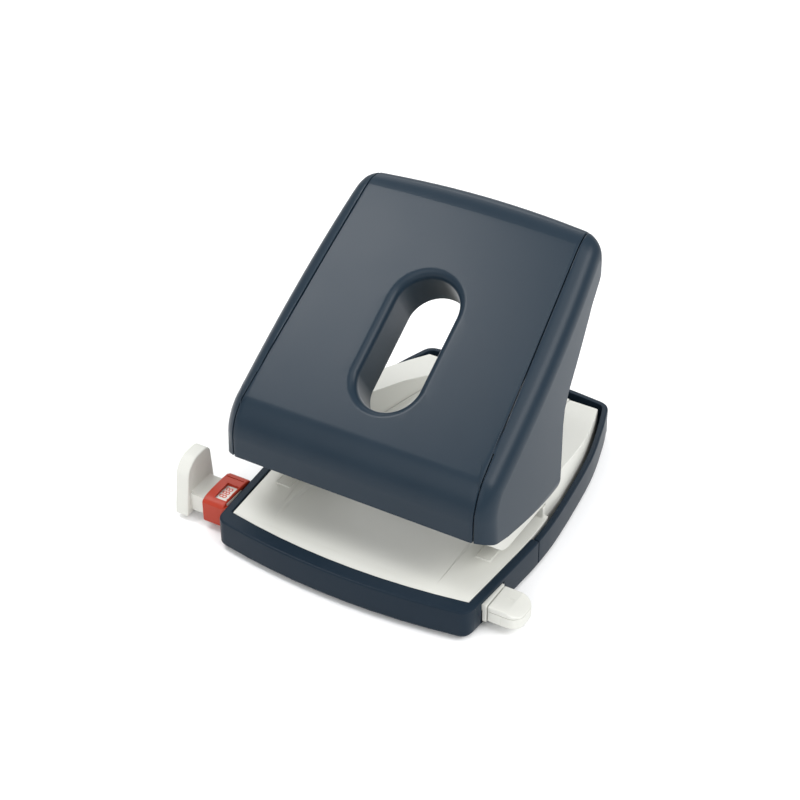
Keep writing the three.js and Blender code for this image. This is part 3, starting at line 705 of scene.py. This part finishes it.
# %% [markdown]
# ## The red sleeve and what shows in its window
# The sleeve is a glossy red collar where the guide leaves the base. It is an arched outline pushed
# through along the bar, joined to a plug that fills the opening in the rim. Channels for the bar and
# for its raised scale, a window and a fine groove are then taken away. The scale block belongs to the
# bar, so the number in the window changes with the stop. The marks are pad-printed ink, a hundredth
# of a millimetre thick; here they stand a little prouder, so that they don't sink into the bar.

# %% Red sleeve
SCALE_TOP = 11.9
SLEEVE_LEFT, SLEEVE_RIGHT = -60.0, -51.1
sleeve_outline = [
    (4.8, 2.9), (22.6, 2.9), (22.6, 11.0), (21.9, 12.3), (20.3, 13.1), (17, 13.25), (12, 13.1),
    (8.5, 12.8), (6.5, 12.35), (5.3, 11.7), (4.8, 10.9),
]
sleeve = prism("red_sleeve", sleeve_outline, SLEEVE_LEFT, SLEEVE_RIGHT)
round_sharp_edges(sleeve, 0.5, 4, 50)
combine(sleeve, block("sleeve_plug", (-51.7, 4.85, 2.95), (-48.9, 22.55, 11.35)), "UNION")
combine(sleeve, block("bar_channel", (-62, 7.3, 3.0), (-41, 20.5, 10.4)), "DIFFERENCE")
combine(sleeve, block("scale_channel", (-62, 7.2, 10), (-50.6, 16.5, SCALE_TOP + 0.15)), "DIFFERENCE")
window = block("sleeve_window", (-56.5, 7.7, 11), (-51.6, 16.0, 15))
roll(window, lambda p: abs(p.z - 13) < 0.1, 0.6, 5)
combine(sleeve, window, "DIFFERENCE")
combine(sleeve, block("sleeve_groove", (-59.3, 18.9, 12.9), (-51.9, 19.4, 14.0)), "DIFFERENCE")
dress(sleeve, red_abs, "red", "base", "format_sleeve", degrees=30)
scale = block("scale_block", (-59.6, 7.4, 10.0), (-50.95, 16.3, SCALE_TOP))
round_sharp_edges(scale, 0.2, 2, 50)
dress(scale, pale_abs, "pale", "guide")

# %% Printed marks
INK_PATCH_SIZE = 0.6
INK_THICKNESS = 0.04
BOLDER = 0.03
DIGIT_SHARE = 0.72
BAR_TOP = 10.2
ink, ink_shader, ink_places = new_material("pad_printed_red_ink")
ink_cover = add_node(
    ink, "ShaderNodeTexNoise", Vector=(ink_places, "Object"), Scale=1 / (INK_PATCH_SIZE * MM), Detail=2.0
)
mix_colours(ink, ink_shader, (ink_cover, "Fac"), "#B23A28", "#BC4431")
ink_shader.inputs["Roughness"].default_value = 0.5


def print_mark(name, text, height, x, y, z):
    """Prints a text that reads from front to back, its middle at a place on the bar."""
    bpy.ops.object.select_all(action="DESELECT")
    bpy.ops.object.text_add(location=at(x, y, z), rotation=(0, 0, math.pi / 2))
    mark = bpy.context.object
    mark.data.body = text
    mark.data.align_x, mark.data.align_y = "CENTER", "CENTER"
    mark.data.size = height / DIGIT_SHARE * MM
    mark.data.extrude = INK_THICKNESS / 2 * MM
    mark.data.offset = BOLDER * MM
    bpy.ops.object.convert(target="MESH")
    mark = new_piece(name)
    wear(mark, ink)
    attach(mark, "guide")


print_mark("mark_888", "888", 2.9, -54.6, 12.4, SCALE_TOP)
for text, x in (("A4", -40), ("A5", -26), ("A6", -12)):
    print_mark(f"mark_{text}", text, 3.0, x, BAR_MIDDLE_Y, BAR_TOP)
for number, y in enumerate((9.5, 11.2, 12.9, 14.6), start=1):
    low, high = (-52.6, y - 0.2, SCALE_TOP - 0.02), (-51.9, y + 0.2, SCALE_TOP + 0.03)
    tick = block(f"scale_tick_{number}", low, high)
    bpy.ops.object.mode_set(mode="EDIT")
    bpy.ops.mesh.select_all(action="SELECT")
    bpy.ops.mesh.bevel(offset=0.05 * MM, segments=2, affect="EDGES")
    bpy.ops.object.mode_set(mode="OBJECT")
    wear(tick, ink)
    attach(tick, "guide")

# %% [markdown]
# ## Floor, light and camera
# A small product on a white sweep, as in a catalogue. Each of the five lights has one job. A large
# soft one high at the right gives the light side. A small one at the upper left puts a sheen on the
# grip. A wide one in front reaches under the nose. A long one at the right draws the streak down the
# cheek's rounding. A card behind is what the flat rim reflects.

# %% Stage
bpy.ops.object.select_all(action="DESELECT")
bpy.ops.mesh.primitive_plane_add(size=6, location=(0, 0, -0.0001))
floor = bpy.context.object
floor.name = "studio_floor"
floor_paint, floor_shader, _ = new_material("white_studio_floor")
floor_shader.inputs["Base Color"].default_value = linear("#FAFAFA")
floor_shader.inputs["Roughness"].default_value = 0.9
floor_shader.inputs["Specular IOR Level"].default_value = 0.1
wear(floor, floor_paint)
print("floor ready:", floor.name)

# %% World and lights
world = bpy.data.worlds.new("white_room")
bpy.context.scene.world = world
world.use_nodes = True
world.node_tree.nodes["Background"].inputs["Color"].default_value = linear("#F4F6F8")
world.node_tree.nodes["Background"].inputs["Strength"].default_value = 0.58


def soft_light(name, place, target, width, height, power):
    bpy.ops.object.light_add(type="AREA", location=place)
    lamp = bpy.context.object
    lamp.name = name
    lamp.data.shape = "RECTANGLE"
    lamp.data.size, lamp.data.size_y = width, height
    lamp.data.energy = power
    lamp.rotation_euler = (Vector(target) - Vector(place)).to_track_quat("-Z", "Y").to_euler()


soft_light("overhead_softbox", (0.6, -0.12, 1.25), (0, 0, 0.03), 0.9, 0.9, 6)
soft_light("grip_glow", (-0.27, -0.06, 0.5), (-0.03, 0.02, 0.08), 0.2, 0.2, 1.3)
soft_light("front_fill", (0.1, -1.2, 0.85), (0, 0, 0.03), 1.8, 0.9, 9)
soft_light("right_strip", (0.82, 0.08, 0.68), (0, 0, 0.06), 0.8, 0.36, 5.8)
soft_light("rear_card", (-0.6, 1.0, 0.85), (0, 0, 0.03), 1.0, 0.6, 4)
print("stage and lights ready")

# %% [markdown]
# The camera stands to the right of the punch and looks down at it, through a fairly long lens, so
# that lines stay nearly parallel.

# %% Camera
camera_data = bpy.data.cameras.new("product_camera")
camera = bpy.data.objects.new("product_camera", camera_data)
bpy.context.scene.collection.objects.link(camera)
turn, rise = math.radians(30.01), math.radians(35.97)
backwards = Vector((math.sin(turn) * math.cos(rise), -math.cos(turn) * math.cos(rise), math.sin(rise)))
camera.location = (0.280575, -0.48673, 0.447168)
camera.rotation_euler = (-backwards).to_track_quat("-Z", "Y").to_euler()
camera_data.lens = 90.016
camera_data.sensor_width = 36
camera_data.shift_x = -0.0380
camera_data.shift_y = 0.0053
camera_data.clip_start = 0.01
bpy.context.scene.camera = camera
bpy.context.scene.view_settings.view_transform = "Standard"
print("camera ready")
